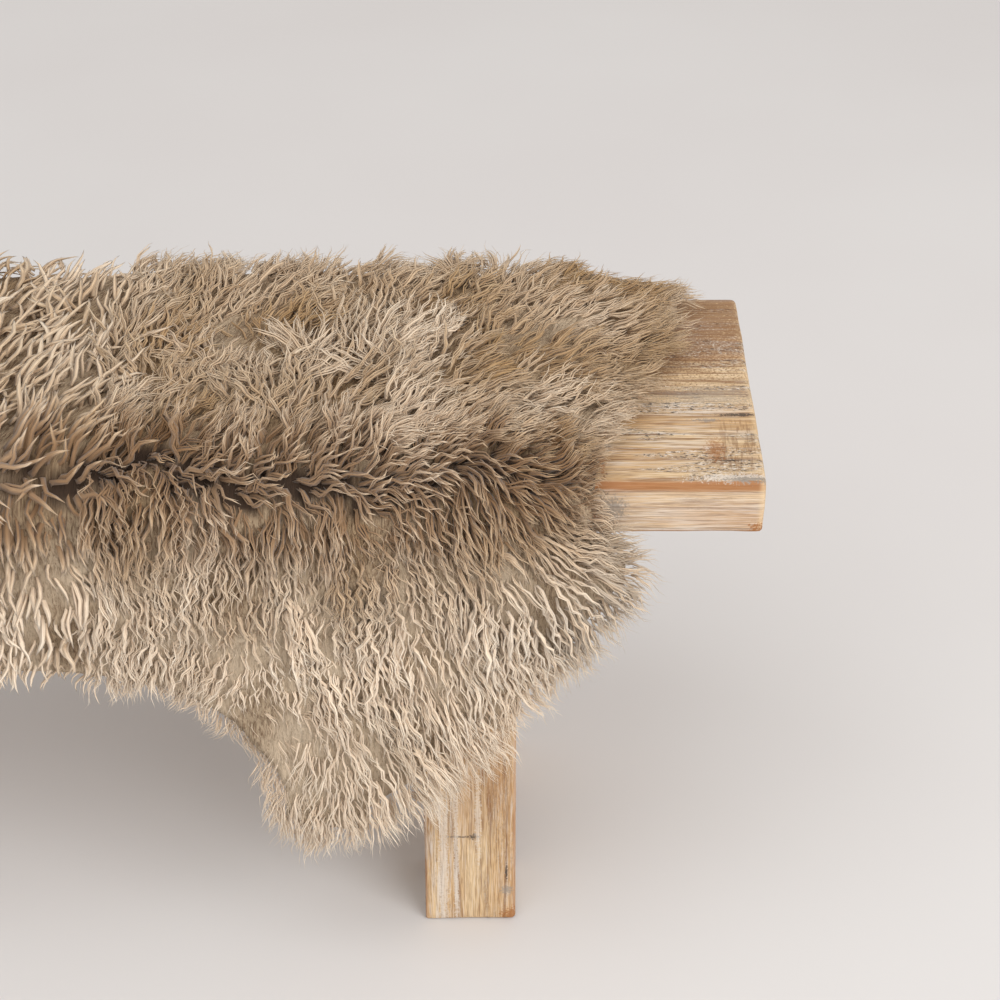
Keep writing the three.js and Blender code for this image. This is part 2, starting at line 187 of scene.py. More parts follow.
def wood_finish(name, along, pith, low, high, pitted, corner, marks, saw_marks=()):
    """Old scrubbed softwood whose grain runs along an axis (0 for X, 2 for Z). Marks are rows of a
    colour, its strength, its place from the corner and its reach along X, Y and Z."""
    wood = Finish(name, WOOD_TAN, Roughness=0.72)
    place = wood.place()
    axes = [Signal(wood, s) for s in wood.node("SeparateXYZ", None, {0: place}).outputs]
    first, second = (i for i in range(3) if i != along)

    def grained(scale, drawn_out, detail=3, rough=0.6, offset=(0, 0, 0)):
        stretch = tuple(drawn_out if i == along else 1.0 for i in range(3))
        return wood.noise(wood.stretched(place, stretch, offset), scale, detail, rough)

    sway = grained(14, 0.09, 2)
    radius = ((axes[first] - pith[0]) ** 2 + (axes[second] - pith[1]) ** 2) ** 0.5
    rings = (radius * 1050 + sway * 34).math("SINE") * 0.5 + 0.5
    broad = grained(38, 0.07)
    streaks = grained(330, 0.035, 4, 0.75)
    fibres = grained(1300, 0.03, 2, 0.75)

    wood.coat(broad.step(0.38, 0.62), WOOD_PALE)
    wood.coat(streaks.step(0.51, 0.64) * 0.45, WOOD_LINE)
    late_wood = rings.step(0.8, 1.0) * streaks.step(0.4, 0.54)
    wood.coat(late_wood * 0.7, WOOD_LINE)
    warm = grained(11, 0.3, 2, 0.5, (4, 4, 4))
    wood.coat(warm.step(0.52, 0.68) * 0.4, WOOD_WORN)
    wood.coat(fibres.step(0.5, 0.62) * 0.5, WOOD_LINE)
    wood.coat(fibres.step(0.48, 0.36) * 0.4, WOOD_PAINT)

    painted = grained(17, 0.25, 3, 0.55, (3, 1, 7))
    paint = painted.step(0.44, 0.6) * grained(330, 0.05, 3, 0.7, (1, 5, 2)).step(0.46, 0.6)
    wood.coat(paint * 0.8, WOOD_PAINT)

    into_side = (axes[first] - low[first]).math("MINIMUM", high[first] - axes[first])
    thin_lines = (grained(170, 0.03, 2, 0.6, (7, 7, 7)) - 0.5).math("ABSOLUTE").step(0.024, 0.006)
    finest_lines = (grained(440, 0.022, 1, 0.5, (3, 9, 2)) - 0.5).math("ABSOLUTE").step(0.034, 0.008)
    wood.coat(thin_lines * (0.3 + 0.25 * pitted), WOOD_LINE)
    wood.coat(finest_lines * (0.2 + 0.3 * pitted), WOOD_LINE)
    ragged = (streaks - 0.5) * 0.012
    on_side = into_side.step(0.0035, 0.0015)
    strip = (high[second] - axes[second] + ragged).step(0.0115, 0.006)
    strip = strip.math("MAXIMUM", (axes[second] - low[second]).step(0.0042, 0.002))
    wood.coat(on_side * 0.2, WOOD_PAINT)
    wood.coat(strip * on_side * (0.4 + 0.45 * pitted), WOOD_WORN)
    end_wear = (axes[along] - high[along]).math("ABSOLUTE").step(0.007, 0.002)
    wood.coat(end_wear * 0.5, WOOD_PALE)

    rough_rows = grained(46, 0.14, 3, 0.6, (2, 8, 4)).step(0.5, 0.57) * (1 - on_side * 0.85) * pitted
    patchy = (wood.noise(place, 480, 3, 0.75) - 0.5) * 3.4
    pit = grained(520, 0.4, 2, 0.75, (9, 2, 5)).step(0.56, 0.61) * rough_rows
    flecks = grained(600, 0.35, 2, 0.75, (5, 6, 1)).step(0.54, 0.6) * rough_rows
    wood.coat(rough_rows * 0.2, WOOD_GREY)
    wood.coat(flecks * 0.75, WOOD_PAINT)
    wood.coat(pit * 0.85, WOOD_PIT)
    relief = fibres * 0.3 + paint * 0.25 - late_wood * 0.35 - thin_lines * 0.4 - pit * 1.3
    if saw_marks:
        cuts = wood.noise(wood.stretched(place, (1, 0.12, 1), (0, 0, 6)), 420, 2, 0.7).step(0.5, 0.6)
        for offset, size in saw_marks:
            centre = [c + o for c, o in zip(corner, offset)]
            sawn = wood.spot(place, centre, size, (broad - 0.5) * 1.4) * cuts
            wood.coat(sawn * 0.5, WOOD_LINE)
            relief = relief - sawn * 0.8
    for mark, strength, offset, size in marks:
        centre = [c + o for c, o in zip(corner, offset)]
        share = wood.spot(place, centre, size, patchy) * strength
        wood.coat(share, mark)
    wood.bump(relief, 0.6, 0.0007)
    return wood.material


def mesh_object(name, points, faces, material):
    """A piece from its points and its faces, shaded smooth."""
    mesh = bpy.data.meshes.new(name)
    mesh.from_pydata([tuple(p) for p in points], [], [tuple(f) for f in faces])
    mesh.update()
    mesh.polygons.foreach_set("use_smooth", [True] * len(mesh.polygons))
    mesh.materials.append(material)
    return in_scene(name, mesh)


def timber(name, low, high, wear, cell, material):
    """A sawn timber whose arrises are worn round unevenly and whose faces are a little wavy."""
    near_end = [0, 0.25, 0.6, 1.0, 1.6, 2.6]
    lines = []
    for axis in range(3):
        size = high[axis] - low[axis]
        ends = [step * wear * 2 for step in near_end]
        count = max(2, round((size - 2 * ends[-1]) / cell))
        middle = np.linspace(ends[-1], size - ends[-1], count + 1)[1:-1]
        lines.append(np.array([*ends, *middle, *(size - e for e in reversed(ends))]) + low[axis])
    places, faces = {}, []
    for axis in range(3):
        first, second = [a for a in range(3) if a != axis]
        for at, outward in ((0, -1), (len(lines[axis]) - 1, 1)):
            for i in range(len(lines[first]) - 1):
                for j in range(len(lines[second]) - 1):
                    quad = []
                    for di, dj in ((0, 0), (1, 0), (1, 1), (0, 1)):
                        key = [0, 0, 0]
                        key[axis], key[first], key[second] = at, i + di, j + dj
                        quad.append(places.setdefault(tuple(key), len(places)))
                    turned = (outward > 0) == (axis == 1)
                    faces.append(quad[::-1] if turned else quad)
    low, high = np.array(low), np.array(high)
    points = []
    for key in places:
        place = Vector([lines[a][key[a]] for a in range(3)])
        round_by = wear * (1.0 + 0.9 * noise.noise(place * 14) + 0.35 * noise.noise(place * 55))
        core = np.clip(place, low + round_by, high - round_by)
        out = np.array(place) - core
        out /= np.linalg.norm(out)
        sunk = 0.0005 + 0.0005 * noise.noise(place * 9) + 0.00025 * noise.noise(place * 45)
        points.append(core + out * (round_by - sunk))
    return mesh_object(name, points, faces, material)


# The marks are measured from the seat's right end, front face and top.
seat_corner = (seat_high.x, seat_low.y, seat_high.z)
seat_long, seat_thick = seat_high.x - seat_low.x, seat_high.z - seat_low.z
seat_marks = [
    (WOOD_WORN, 0.85, (-0.14, 0, -0.034), (0.024, 0.012, 0.02)),
    (WOOD_GREY, 0.75, (-0.118, 0, -0.026), (0.012, 0.012, 0.014)),
    (WOOD_PIT, 0.5, (-0.127, 0, -0.011), (0.006, 0.006, 0.005)),
    (WOOD_WORN, 0.9, (0, 0, -seat_thick), (0.014, 0.012, 0.012)),
    (WOOD_PIT, 0.9, (-0.014, 0.096, 0), (0.02, 0.0028, 0.004)),
    (WOOD_GREY, 0.8, (-0.04, 0.088, 0), (0.014, 0.003, 0.004)),
    (WOOD_PIT, 0.95, (-0.098, 0.123, 0), (0.011, 0.003, 0.004)),
    (WOOD_PAINT, 0.95, (-0.114, 0.126, 0), (0.01, 0.004, 0.004)),
    (WOOD_PIT, 0.8, (-0.03, 0.03, 0), (0.02, 0.0014, 0.004)),
    (WOOD_WORN, 0.8, (-0.125, 0.026, 0), (0.003, 0.022, 0.004)),
    (WOOD_WORN, 0.6, (-0.036, 0.045, 0), (0.009, 0.02, 0.004)),
    (WOOD_PAINT, 0.8, (-0.02, 0.006, 0), (0.04, 0.006, 0.004)),
    (WOOD_PIT, 0.6, (-0.012, 0.004, 0), (0.026, 0.004, 0.004)),
    (WOOD_PAINT, 0.8, (-0.142, 0.02, 0), (0.014, 0.02, 0.004)),
    (WOOD_PIT, 0.7, (-0.14, 0.01, 0), (0.018, 0.004, 0.004)),
    (WOOD_GREY, 0.5, (-0.035, 0.125, 0), (0.055, 0.016, 0.004)),
    # Painted shade: a broad darker patch on the top towards its back, near the rug.
    (WOOD_LINE, 0.75, (-0.06, 0.27, 0), (0.2, 0.13, 0.004)),
    (WOOD_LINE, 0.5, (0.41 - seat_long, 0.11, 0), (0.05, 0.02, 0.01)),
    (WOOD_LINE, 0.6, (0.3 - seat_long, 0, -0.03), (0.03, 0.02, 0.014)),
    (WOOD_PIT, 0.5, (0.06 - seat_long, 0.2, 0), (0.02, 0.01, 0.01)),
]
saw_cuts = [
    ((-0.018, 0.045, 0), (0.03, 0.05, 0.005)),
    ((0.02 - seat_long, 0.2, 0), (0.03, 0.06, 0.005)),
]
seat_pith = (seat_low.y + 0.09, seat_low.z - 0.12)
seat_finish = wood_finish(
    "old_wood_seat", 0, seat_pith, seat_low, seat_high, 1.0, seat_corner, seat_marks, saw_cuts
)
seat = timber("bench_seat", seat_low, seat_high, SEAT_WEAR, SEAT_CELL, seat_finish)
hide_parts("seat")
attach(seat, "root")


# Bench legs: four square posts of the same old wood, standing under the plank, their grain upright.
# All have the same marks, which are measured from a post's low left front corner.
LEG_WEAR, LEG_CELL = 0.0032, 0.022
leg_low, leg_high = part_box("leg_front_right")
leg_marks = [
    (WOOD_PIT, 0.7, (0.033, 0, 0.098), (0.017, 0.004, 0.0014)),
    (WOOD_PIT, 0.75, (0.043, 0, 0.0985), (0.005, 0.004, 0.0042)),
    (WOOD_PIT, 0.9, (0.0715, 0, 0.058), (0.0012, 0.004, 0.013)),
    (WOOD_GREY, 0.7, (0.072, 0, 0.036), (0.007, 0.004, 0.006)),
    (WOOD_WORN, 0.8, (0.075, 0, 0.006), (0.009, 0.012, 0.012)),
    (WOOD_PAINT, 0.55, (0.017, 0, 0.06), (0.005, 0.004, 0.11)),
    (WOOD_PAINT, 0.6, (0.028, 0, 0.07), (0.0025, 0.004, 0.1)),
    (WOOD_PAINT, 0.5, (0.047, 0, 0.12), (0.003, 0.004, 0.06)),
    (WOOD_LINE, 0.6, (leg_high.x - leg_low.x, 0.03, 0.27), (0.01, 0.014, 0.03)),
]

for leg_name in ("leg_front_left", "leg_back_left", "leg_front_right", "leg_back_right"):
    leg_low, leg_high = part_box(leg_name)
    leg_pith = (leg_low.x + 0.02, leg_high.y + 0.03)
    leg_finish = wood_finish(
        "old_wood_" + leg_name, 2, leg_pith, leg_low, leg_high, 0.2, leg_low, leg_marks
    )
    leg = timber("bench_" + leg_name, leg_low, leg_high, LEG_WEAR, LEG_CELL, leg_finish)
    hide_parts(leg_name)
    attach(leg, "root")


# Leather of the rug: two tanned skins cut along the natural outline of the animal and sewn rump to
# rump. Each lies on the seat flesh side down, bends over its edges and hangs.
SEAT_DEPTH = seat_high.y - seat_low.y
SEAT_MIDDLE = (seat_high.y + seat_low.y) / 2
SEAM_X, SEAM_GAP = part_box("pelt_right")[0].x, 0.0003
BEND_RADIUS, EDGE_CLEARANCE, FACE_CLEARANCE, TOUCH_GAP = 0.0145, 0.0025, 0.003, 0.0004
BEND_START, BEND_END = BEND_RADIUS - FACE_CLEARANCE, BEND_RADIUS - EDGE_CLEARANCE
SWAY_LEAST, SWAY_MOST, SWAY_WAVE = 0.003, 0.015, 0.27
LEATHER = 0.0018
LEATHER_COLOUR, LEATHER_SHADE = (0xD8, 0xC8, 0xB0), (0xBE, 0xA8, 0x8A)
SKIN_COLUMNS, SKIN_ROWS = 50, 42

# How far the long edges hang below the seat, by the share of the way from the seam to the neck, and
# how far the neck end lies from the seam, by the distance across the rug from the front edge.
skins = {
    "right": {
        "side": 1,
        "front": [(0, 0.205), (0.1, 0.222), (0.24, 0.196), (0.42, 0.155), (0.56, 0.15), (0.665, 0.165),
                  (0.775, 0.218), (0.852, 0.26), (0.915, 0.299), (1, 0.316)],
        "back": [(0, 0.096), (0.12, 0.112), (0.3, 0.074), (0.5, 0.048), (0.66, 0.052), (0.8, 0.084),
                 (0.92, 0.12), (1, 0.128)],
        "neck": [(-0.413, 0.69), (-0.37, 0.77), (-0.325, 0.862), (-0.285, 0.904), (-0.245, 0.911),
                 (-0.145, 0.881), (-0.06, 0.846), (0, 0.834), (0.045, 0.836), (0.072, 0.86),
                 (0.111, 0.836), (0.161, 0.801), (0.213, 0.766), (0.245, 0.733), (0.277, 0.699),
                 (0.316, 0.652)],
    },
    "left": {
        "side": -1,
        "front": [(0, 0.205), (0.11, 0.216), (0.27, 0.188), (0.45, 0.142), (0.6, 0.134), (0.72, 0.156),
                  (0.84, 0.212), (0.93, 0.252), (1, 0.262)],
        "back": [(0, 0.096), (0.1, 0.108), (0.28, 0.082), (0.5, 0.062), (0.66, 0.074), (0.8, 0.118),
                 (0.92, 0.158), (1, 0.166)],
        "neck": [(-0.451, 0.676), (-0.4, 0.752), (-0.34, 0.828), (-0.285, 0.862), (-0.2, 0.896),
                 (-0.12, 0.903), (-0.05, 0.88), (0.01, 0.852), (0.07, 0.838), (0.13, 0.806),
                 (0.19, 0.752), (0.235, 0.706), (0.262, 0.664)],
    },
}


def set_field(piece, name, values):
    """Gives each vertex of a piece a number or a vector that its material reads."""
    kind, item = ("FLOAT", "value") if values.ndim == 1 else ("FLOAT_VECTOR", "vector")
    field = piece.data.attributes.new(name, kind, "POINT")
    field.data.foreach_set(item, values.astype(np.float32).ravel())


def smooth(value, low, high):
    share = np.clip((value - low) / (high - low), 0, 1)
    return share * share * (3 - 2 * share)


def close_to(distance, reach):
    """1 where the distance is 0, fading to 0 past the reach on both sides."""
    return np.exp(-((distance / reach) ** 2))


def read_table(table, value):
    """Reads rows of (key, value) along a smooth curve through them."""
    keys, heights = np.array(table, float).T
    value = np.clip(value, keys[0], keys[-1])
    slopes = np.empty_like(heights)
    slopes[1:-1] = (heights[2:] - heights[:-2]) / (keys[2:] - keys[:-2])
    slopes[0] = (heights[1] - heights[0]) / (keys[1] - keys[0])
    slopes[-1] = (heights[-1] - heights[-2]) / (keys[-1] - keys[-2])
    i = np.clip(np.searchsorted(keys, value, side="right") - 1, 0, len(keys) - 2)
    span = keys[i + 1] - keys[i]
    s = (value - keys[i]) / span
    start = heights[i] * (1 + 2 * s) * (1 - s) ** 2 + slopes[i] * span * s * (1 - s) ** 2
    return start + heights[i + 1] * (3 - 2 * s) * s**2 - slopes[i + 1] * span * (1 - s) * s**2


def hide_at(x, across):
    """The flesh side of the hide at places (x, across): its points, its directions out into the wool,
    and its directions of growing across, which run towards the front and down."""
    out = np.where(across < -SEAT_DEPTH / 2, -1.0, 1.0)
    past_edge = np.where(out < 0, -SEAT_DEPTH - across, across)
    turn = np.clip((past_edge + BEND_START) / (BEND_END + BEND_START), 0, 1) * math.pi / 2
    sway_share = 0.5 + 0.5 * np.sin(2 * math.pi * x / SWAY_WAVE + 1.2)
    sway = SWAY_LEAST + (SWAY_MOST - SWAY_LEAST) * sway_share
    below = np.maximum(past_edge - BEND_END, 0)
    flat, hanging = past_edge < -BEND_START, past_edge >= BEND_END
    inward = np.where(flat, -past_edge, BEND_START - BEND_RADIUS * np.sin(turn))
    inward = np.where(hanging, -FACE_CLEARANCE - sway * (below / 0.3) ** 1.3, inward)
    lift = TOUCH_GAP + (EDGE_CLEARANCE - TOUCH_GAP) * smooth(past_edge, -BEND_START - 0.04, -BEND_START)
    height = np.where(flat, lift, EDGE_CLEARANCE - BEND_RADIUS * (1 - np.cos(turn)))
    height = np.where(hanging, -past_edge, height)
    y = SEAT_MIDDLE + out * (inward - SEAT_DEPTH / 2)
    level = np.zeros_like(y)
    points = np.stack([x, y, seat_high.z + height], -1)
    normals = np.stack([level, -out * np.sin(turn), np.cos(turn)], -1)
    downs = np.stack([level, -np.cos(turn), -out * np.sin(turn)], -1)
    return points, normals, downs


def skin_grid(skin, columns, rows, past=0.0):
    """Places (x, across) on a skin, in columns from the seam to the neck end or past its rim."""
    share = np.linspace(0, 1, columns + 1)[:, None]
    down = np.linspace(0, 1, rows + 1)[None, :]
    if past:
        share = 0.55 * share + 0.45 * np.sin(share * math.pi / 2)
        down = 0.5 * down + 0.25 * (1 - np.cos(down * math.pi))
    front, back = (read_table(skin[edge], share) + past for edge in ("front", "back"))
    across = -SEAT_DEPTH - back + down * (SEAT_DEPTH + front + back)
    x = SEAM_X + skin["side"] * (SEAM_GAP + share * (read_table(skin["neck"], across) + past))
    return x, across


def slab(name, side, x, across, bottom, top, material):
    """A closed slab over a grid of places on a skin, between two heights over the flesh side."""
    points, normals, _ = hide_at(x.ravel(), across.ravel())
    heights = [np.broadcast_to(h, x.shape).reshape(-1, 1) for h in (bottom, top)]
    points = np.concatenate([points + normals * heights[0], points + normals * heights[1]])
    columns, rows = x.shape
    above = x.size
    faces = []
    for c in range(columns - 1):
        for r in range(rows - 1):
            a, b = c * rows + r, (c + 1) * rows + r
            faces += [(a, b, b + 1, a + 1), (a + above, a + 1 + above, b + 1 + above, b + above)]
    last = (columns - 1) * rows
    for r in range(rows - 1):
        faces.append((r, r + 1, r + 1 + above, r + above))
        faces.append((last + r + 1, last + r, last + r + above, last + r + 1 + above))
    for c in range(columns - 1):
        a, b = c * rows, (c + 1) * rows
        faces.append((b, a, a + above, b + above))
        faces.append((a + rows - 1, b + rows - 1, b + rows - 1 + above, a + rows - 1 + above))
    if side > 0:
        faces = [f[::-1] for f in faces]
    return mesh_object(name, points, faces, material)


leather = Finish("tanned_leather", LEATHER_COLOUR, Roughness=0.8)
leather_grain = leather.noise(leather.place(), 900, 3)
leather_patches = leather.noise(leather.place(), 14, 3)
leather.coat(leather_patches.step(0.35, 0.7), LEATHER_SHADE)
leather.bump(leather_grain, 0.3, 0.0003)

for skin_name, skin in skins.items():
    x, across = skin_grid(skin, SKIN_COLUMNS, SKIN_ROWS)
    piece = slab("leather_" + skin_name, skin["side"], x, across, 0.0, LEATHER, leather.material)
    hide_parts("pelt_" + skin_name)
    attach(piece, "root")
    skin["leather"] = piece


# Underwool: the short dense wool between the locks, brown where the light doesn't reach. It fills
# the lower part of the fleece, thins out at the rim and sinks where the fleece parts.
UNDERWOOL, UNDERWOOL_RIM, UNDERWOOL_PAST = 0.0255, 0.015, 0.024
CLEFT_DEPTH, CLEFT_WIDTH = 0.55, 0.009
CREASE_REACH, BELOW_CREASE = 0.02, 0.028
PARTING_WANDER = (
    (0.005, 0.047, 0.0), (0.004, 0.019, 2.0), (0.0035, 0.0073, 1.0), (0.002, 0.0031, 0.0)
)
UNDERWOOL_PALE, UNDERWOOL_BROWN = (0xD0, 0xBC, 0xA2), (0x80, 0x68, 0x50)
CLEFT_PAINTED_SHADE = (0x44, 0x33, 0x26)
# Painted shade: a colour multiplied into the wool and underwool where their share of painted light is
# low, as on the seat.
WOOL_PAINTED_SHADE = (0xC0, 0xAA, 0x87)
UNDERWOOL_CELLS = {"right": (104, 76), "left": (70, 54)}

# From FINE_FROM to the right end the locks are finer. On the seat the wool slants LAY_ON_SEAT to
# the neck end for each length that it runs back.
FINE_FROM, LAY_ON_SEAT = 0.48, 0.53

underwool = Finish("underwool", UNDERWOOL_BROWN, Roughness=1.0)
laid = underwool.attribute("laid", "Vector")
tufts = underwool.noise(underwool.stretched(laid, (1, 0.22, 1)), 420, 4, 0.75, 0.9)
downs = underwool.noise(underwool.stretched(laid, (1, 0.12, 1)), 1500, 3, 0.7, 0.6)
# The 'hanging' attribute is the share of painted light: where it is high the underwool is painted
# paler, and where it is low the painted shade colour dims it. The paler tufts and downs are its own
# colour.
hanging = underwool.attribute("hanging")
underwool_light = tufts.step(0.41, 0.57) * 0.7 + downs.step(0.4, 0.6) * 0.5
underwool.coat(underwool_light + hanging.step(0.65, 1.0) * 0.4, UNDERWOOL_PALE)
underwool.coat(1 - hanging, WOOL_PAINTED_SHADE, "MULTIPLY")
# Painted shade: the underwool is painted dark at the bottom of the cleft where the fleece parts.
underwool.coat(underwool.attribute("cleft").step(0.2, 0.8), CLEFT_PAINTED_SHADE)
underwool.bump(tufts + downs * 0.35, 1.0, 0.003)


def rim_distance(skin, x, across):
    """How far a place lies inside the skin's free rim, how far from its neck end, and its share of
    the way from the seam to that end. The distances are below 0 outside the rim."""
    share = (x - SEAM_X) * skin["side"] / read_table(skin["neck"], across)
    front = read_table(skin["front"], np.clip(share, 0, 1)) - across
    back = across + SEAT_DEPTH + read_table(skin["back"], np.clip(share, 0, 1))
    end = (1 - share) * read_table(skin["neck"], across)
    return np.minimum(np.minimum(front, back), end), end, share


def parting_at(x):
    """Where the fleece parts along the front edge, as a distance across the rug."""
    return sum(swing * np.sin(x / reach + phase) for swing, reach, phase in PARTING_WANDER)


def waves(x, across, length, seed):
    """A smooth uneven field, mostly from -1 to 1, with swells of about that length."""
    rng = np.random.default_rng(seed)
    total = np.zeros_like(x)
    for _ in range(7):
        angle, phase = rng.uniform(0, 2 * math.pi, 2)
        pace = 2 * math.pi / (length * rng.uniform(0.7, 1.5))
        total = total + np.sin(pace * (x * math.cos(angle) + across * math.sin(angle)) + phase)
    return total / 3.2


def painted_light_at(x, across, grow=0.0):
    """The share of painted light in the wool's colour: up to 1 well below the seat's edges, where the
    wool is painted paler as if lit from the front, and about half of that on the seat, with a little
    more on its crowns and less in its hollows as painted light and shade."""
    below = np.maximum(across, 2 * (0.03 - SEAT_DEPTH - across))
    share = 0.45 + 0.1 * smooth(x, FINE_FROM + 0.05, FINE_FROM - 0.2)
    share = share + (1 - share) * smooth(below, -0.01, 0.13)
    crown = np.clip(1.4 * grow, -0.4, 0.2) * smooth(across, 0.02, -0.02)
    return np.clip(share + 0.24 * waves(x, across, 0.09, 61) + crown, 0, 1)


def in_cleft_at(x, across):
    """1 at the bottom of the cleft where the fleece parts, fading to 0 beside it."""
    return close_to(across - parting_at(x), CLEFT_WIDTH)


def behind_seat(across):
    """0 on the seat and 1 where the skin hangs behind it."""
    return smooth(across, -SEAT_DEPTH - 0.003, -SEAT_DEPTH - 0.03)


for skin_name, skin in skins.items():
    x, across = skin_grid(skin, *UNDERWOOL_CELLS[skin_name], past=UNDERWOOL_PAST)
    inside, _, _ = rim_distance(skin, x, across)
    thick = UNDERWOOL_RIM + (UNDERWOOL - UNDERWOOL_RIM) * np.sqrt(smooth(inside, 0.0, 0.06))
    thick = thick * (1 - 0.25 * close_to(across + SEAT_DEPTH - 0.004, 0.025))
    thick = thick * (1 + 0.06 * waves(x, across, 0.03, 51) + 0.08 * waves(x, across, 0.013, 52))
    plain = smooth(x, FINE_FROM + 0.02, FINE_FROM - 0.08)
    thick = thick * (1 - 0.16 * np.maximum(plain, behind_seat(across)))
    cleft = in_cleft_at(x, across) * (1 - 0.4 * plain)
    thick = thick * (1 - CLEFT_DEPTH * cleft)
    outside = np.clip(-inside / UNDERWOOL_PAST, 0, 1)
    roll = 0.5 * thick * (1 - np.sqrt(1 - 0.97 * outside**2))
    low, high = LEATHER + roll, LEATHER + thick - roll
    piece = slab("underwool_" + skin_name, skin["side"], x, across, low, high, underwool.material)
    sheared = x + LAY_ON_SEAT * skin["side"] * np.minimum(across, 0)
    laid_at = np.stack([sheared, across, np.zeros_like(x)], -1).reshape(-1, 3)
    set_field(piece, "laid", np.tile(laid_at, (2, 1)))
    # The 'cleft' field also paints shade into the cleft, and the 'hanging' field carries the share of
    # painted light.
    set_field(piece, "cleft", np.tile(cleft.ravel(), 2))
    set_field(piece, "hanging", np.tile(painted_light_at(x, across).ravel(), 2))
    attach(piece, "root")
    skin["roots"] = piece


# Wool: wavy locks, each a flattened bundle of fibres, in the finer wool with a thin paler strand
# curling over it. They lean as the fleece was brushed, lie over one another and fan out at the rim.
LOCK_LENGTH, ROOT_LIFT, ROOT_LEAN, TIP_LEAN = 0.06, 0.004, 18, 74
FAN, FAN_REACH, RIM_FADE = 1.8, 0.035, 0.028
CROWN_HEART, PARTING_REACH, SLOPE_STEP = 0.035, 0.035, 0.004
WOOL_ROOT, WOOL_MIDDLE, WOOL_TIP = (0xAA, 0x8C, 0x6D), (0xF5, 0xE1, 0xC8), (0xF6, 0xEA, 0xD8)
WOOL_ROOT_PAINTED_LIGHT, WOOL_GREY = (0xD6, 0xBC, 0xA0), (0xA4, 0xA0, 0x9C)
STEPS, STEPS_PAST = 24, 28
CLUMP_PITCH, CLUMPING, ROOTS_PAST = 0.0125, 0.42, 0.012
BEND_REACH, FRONT_PITCH, BACK_PITCH = 0.018, 0.54, 0.9
RIM_REACH, RIM_PITCH = 0.012, 0.95

# Crowns and hollows in the fleece: the wool is pushed out from their centres, or turned about them,
# and grows longer on a crown and shorter in a hollow. Each row is x, across, radius, push, turn and
# growth.
crowns = [
    (0.684, -0.13, 0.06, 0.7, 0.25, 0.15),
    (0.578, -0.16, 0.045, 0.9, 0.9, -0.3),
    (0.55, -0.045, 0.04, 0.7, -0.7, -0.2),
    (0.69, -0.205, 0.04, 0.8, 0.7, -0.22),
    (0.81, -0.15, 0.07, 0.3, 0.4, -0.22),
    (0.82, 0.06, 0.05, 0.9, 0.0, 0.4),
    (0.7, 0.25, 0.07, 0.6, 0.0, 0.35),
    (0.565, 0.21, 0.065, 0.0, 0.0, -0.4),
    (0.58, 0.22, 0.12, 1.0, 0.0, 0.0),
    (0.88, -0.27, 0.05, 0.0, 0.0, -0.3),
    (0.84, 0.0, 0.035, 0.0, 0.0, -0.35),
    (0.3, -0.13, 0.07, 0.8, 0.5, 0.1),
    (0.12, -0.2, 0.05, 0.8, -0.8, -0.15),
    (-0.2, -0.1, 0.07, 0.8, 0.6, 0.1),
    (-0.42, -0.19, 0.05, 0.8, -0.7, -0.15),
    (-0.62, -0.12, 0.06, 0.8, 0.5, 0.08),
]


def lay_of_wool(skin, x, across):
    """Which way the wool leans at each place, as along and across, how much longer it grows, and 1
    in front of the parting or 0 behind it."""
    inside, _, share = rim_distance(skin, x, across)
    side = skin["side"]
    past = across - parting_at(x)
    to_neck = smooth(share, 0.72, 0.98)
    on_front = smooth(past, -0.005, 0.007)
    on_back = smooth(across, -SEAT_DEPTH + 0.03, -SEAT_DEPTH - 0.02)
    along_top = side * (0.45 + 0.9 * to_neck)
    along_front = side * (0.05 + 0.85 * smooth(share, 0.78, 1.0) * smooth(across, 0.2, 0.02))
    along = along_top * (1 - on_front) + along_front * on_front
    down = (-0.85 + 0.75 * to_neck * smooth(across, -0.2, -0.03)) * (1 - on_front) + on_front
    down = down * (1 - on_back) - on_back
    slope_x = (rim_distance(skin, x + SLOPE_STEP, across)[0] - inside) / SLOPE_STEP
    slope_across = (rim_distance(skin, x, across + SLOPE_STEP)[0] - inside) / SLOPE_STEP
    slope = np.hypot(slope_x, slope_across) + 1e-6
    fan = FAN * np.exp(-np.maximum(inside, 0) / FAN_REACH) * (1 - 0.6 * smooth(across, 0.1, 0.2))
    along, down = along - fan * slope_x / slope, down - fan * slope_across / slope
    settled = 1 - 0.85 * close_to(past, PARTING_REACH)
    grow = np.zeros_like(x)
    for crown_x, crown_across, radius, push, turn, longer in crowns:
        off_x, off_across = x - crown_x, across - crown_across
        distance = np.hypot(off_x, off_across) + 1e-6
        near = close_to(distance, radius)
        reach = near * np.minimum(distance / CROWN_HEART, 1) * settled
        along = along + reach * (push * off_x - turn * off_across) / distance
        down = down + reach * (push * off_across + turn * off_x) / distance
        grow = grow + longer * near
    wild = (0.95 - 0.6 * on_front) * settled
    along = along + wild * waves(x, across, 0.08, 5)
    down = down + wild * 0.8 * waves(x, across, 0.07, 9)
    size = np.hypot(along, down) + 1e-6
    return along / size, down / size, grow, on_front


def lock_places(skin, low_x, high_x, low_across, high_across, pitch, seed):
    """Root places of locks on a skin, a pitch apart in uneven rows."""
    rng = np.random.default_rng(seed)
    columns = np.arange(low_x, high_x, pitch * 0.866)
    rows = np.arange(low_across, high_across, pitch)
    x, across = np.meshgrid(columns, rows, indexing="ij")
    across = across + (np.arange(len(columns)) % 2)[:, None] * pitch / 2
    x = (x + rng.uniform(-0.4, 0.4, x.shape) * pitch).ravel()
    across = (across + rng.uniform(-0.4, 0.4, across.shape) * pitch).ravel()
    inside, _, share = rim_distance(skin, x, across)
    kept = (inside > -ROOTS_PAST) & (share > 0) & (x >= low_x) & (x < high_x)
    return x[kept], across[kept]


